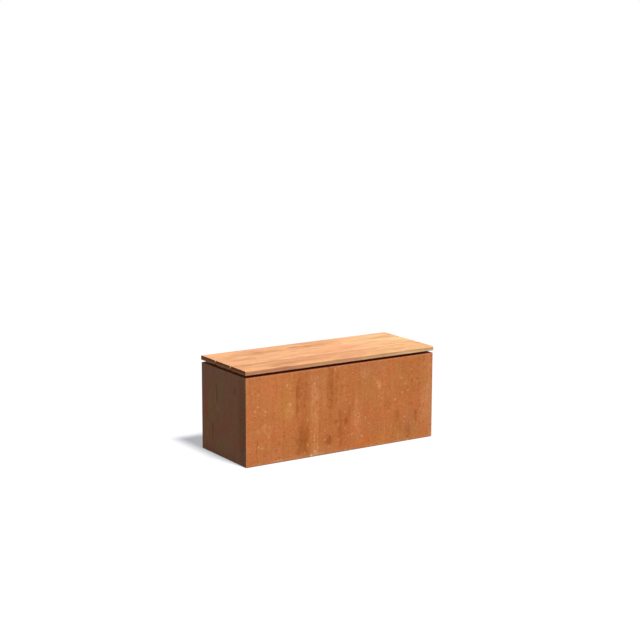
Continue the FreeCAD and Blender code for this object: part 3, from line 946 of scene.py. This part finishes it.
# For each board: its pattern's shift, where its log's heart lay, its tone, marks and tints
board_looks = {
    "front": ((1.3, 0.2, 0.1), (0, -0.20, 0.33), (0.90, 0.84, 0.77),
              along_board([(-226, -140, 230, 18, 0.35), (-330, -165, 40, 14, 0.30),
                           (-290, -148, 60, 12, 0.20), (440, -95, 50, 30, -0.3)]),
              along_board([(-60, -140, 50, 30, (1.0, 0.93, 0.94)),
                           (-170, -130, 260, 70, (0.93, 0.91, 0.86)),
                           (90, -100, 50, 60, (0.98, 1.04, 1.0)),
                           # Painted highlight along the front edge of the seat.
                           (0, -195, 700, 12, (1.0, 1.03, 1.06))])),
    "middle": ((4.1, 0.7, 0.4), (0, 0.05, 0.30), (0.98, 0.95, 0.90),
               along_board([(330, -40, 120, 22, 0.25), (-320, 0, 20, 14, -0.3)]),
               along_board([(-190, -20, 60, 50, (1.01, 0.93, 0.99)),
                            (-270, 0, 150, 80, (1.05, 1.11, 1.13)),
                            (190, 0, 280, 80, (0.95, 0.87, 0.88))])),
    "rear": ((7.7, 0.4, 0.9), (0, 0.10, 0.36), (0.95, 0.92, 0.85),
             along_board([(-110, 112, 240, 26, 0.40), (-60, 130, 26, 14, 0.35),
                          (15, 118, 36, 16, 0.40), (-440, 150, 70, 50, -0.45)]),
             along_board([(-180, 128, 24, 22, (1.04, 0.86, 0.80)),
                          (160, 105, 40, 35, (1.04, 0.94, 1.04)),
                          (-280, 140, 60, 30, (0.96, 0.99, 1.10)),
                          (-300, 120, 90, 70, (0.95, 0.88, 0.88)),
                          (400, 130, 160, 80, (1.05, 1.10, 1.13))])),
}
check_places = (0.22, 0.48, 0.79)
check_scatter = 0.08
check_lengths = (0.015, 0.055)
check_widths = (0.0004, 0.0009)
check_depths = (0.006, 0.016)
smooth_up_to = math.radians(40)
chance = random.Random(5)
for name, (shift, heart, tone, marks, tints) in board_looks.items():
    node = f"seat_board_{name}"
    low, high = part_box(node)
    board = model_board(f"board_{name}", low, high)
    for end, side in ((low.x, -1), (high.x, 1)):
        for share in check_places:
            y = low.y + (share + chance.uniform(-check_scatter, check_scatter)) * (high.y - low.y)
            open_check(board, end, side, y, chance.uniform(*check_lengths),
                       chance.uniform(*check_widths), chance.uniform(*check_depths))
    select_only(board)
    bpy.ops.object.shade_smooth_by_angle(angle=smooth_up_to)
    board.modifiers.new("flat faces", "WEIGHTED_NORMAL").keep_sharp = True
    bpy.ops.object.modifier_apply(modifier="flat faces")
    dress(board, hardwood(f"{name} board wood", shift, heart, tone, marks, tints))
    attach(board, "seat")
    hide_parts(node)


# Board screws
# Countersunk screws of stainless steel, six to a bar. They are driven up through the bar
# and draw the boards down on it.
bright_steel = (0.62, 0.61, 0.59, 1)
brown_stain = (0.36, 0.24, 0.16, 1)


def stainless(name, shift):
    """Stainless steel with fine marks from turning and brown stains."""
    material, tree, shader = new_material(name, Metallic=1.0)
    place = stretched(tree, object_place(tree), (1, 1, 1), shift)
    stains = cloudy(tree, place, 300, 4, 0.6)
    stained = calculate(tree, "MULTIPLY", eased(tree, stains, 0.52, 0.75), 0.6)
    colour = mix_colours(tree, stained, bright_steel, brown_stain)
    marks = cloudy(tree, stretched(tree, place, (1, 1, 0.1)), 2400, 2)
    roughness = weighed(tree, 0.32, (stains, 0.3))
    finish_shader(tree, shader, colour, roughness, marks, depth=0.00005, strength=0.5)
    return material


board_screw_steel = stainless("board screw steel", (0, 0, 0))
for bar in bars:
    dress(nodes[f"board_screws_{bar}"], board_screw_steel)


# Locating blocks
# Black plastic blocks that drop inside the rim and keep the seat from sliding. Moulding
# has left them finely grained, and the steel has rubbed their lower edges.
black_plastic = (0.018, 0.018, 0.019, 1)
rubbed_plastic = (0.075, 0.060, 0.052, 1)


def block_plastic(name, low, high):
    """Grained black plastic on a block between two corners, rubbed along its edges."""
    material, tree, shader = new_material(name)
    place = object_place(tree)
    rubbed = use_group(tree, edge_wear, Place=place, Middle=(low + high) / 2,
                       Half=(high - low) / 2, Width=0.0015)["Mask"]
    colour = mix_colours(tree, calculate(tree, "MULTIPLY", rubbed, 0.7), black_plastic, rubbed_plastic)
    grain = cloudy(tree, place, 1800, 2, 0.6)
    roughness = weighed(tree, 0.50, (grain, 0.2))
    finish_shader(tree, shader, colour, roughness, grain, depth=0.00008, strength=0.7)
    return material


for bar in bars:
    for side in sides:
        node = f"locating_block_{bar}_{side}"
        dress(nodes[node], block_plastic(f"{bar} {side} block plastic", *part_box(node)))


# Block screws
# Cap screws of stainless steel, two to a bar. They sit in the blocks' recesses and hold
# the blocks to the bar.
block_screw_steel = stainless("block screw steel", (2, 5, 1))
for bar in bars:
    dress(nodes[f"block_screws_{bar}"], block_screw_steel)
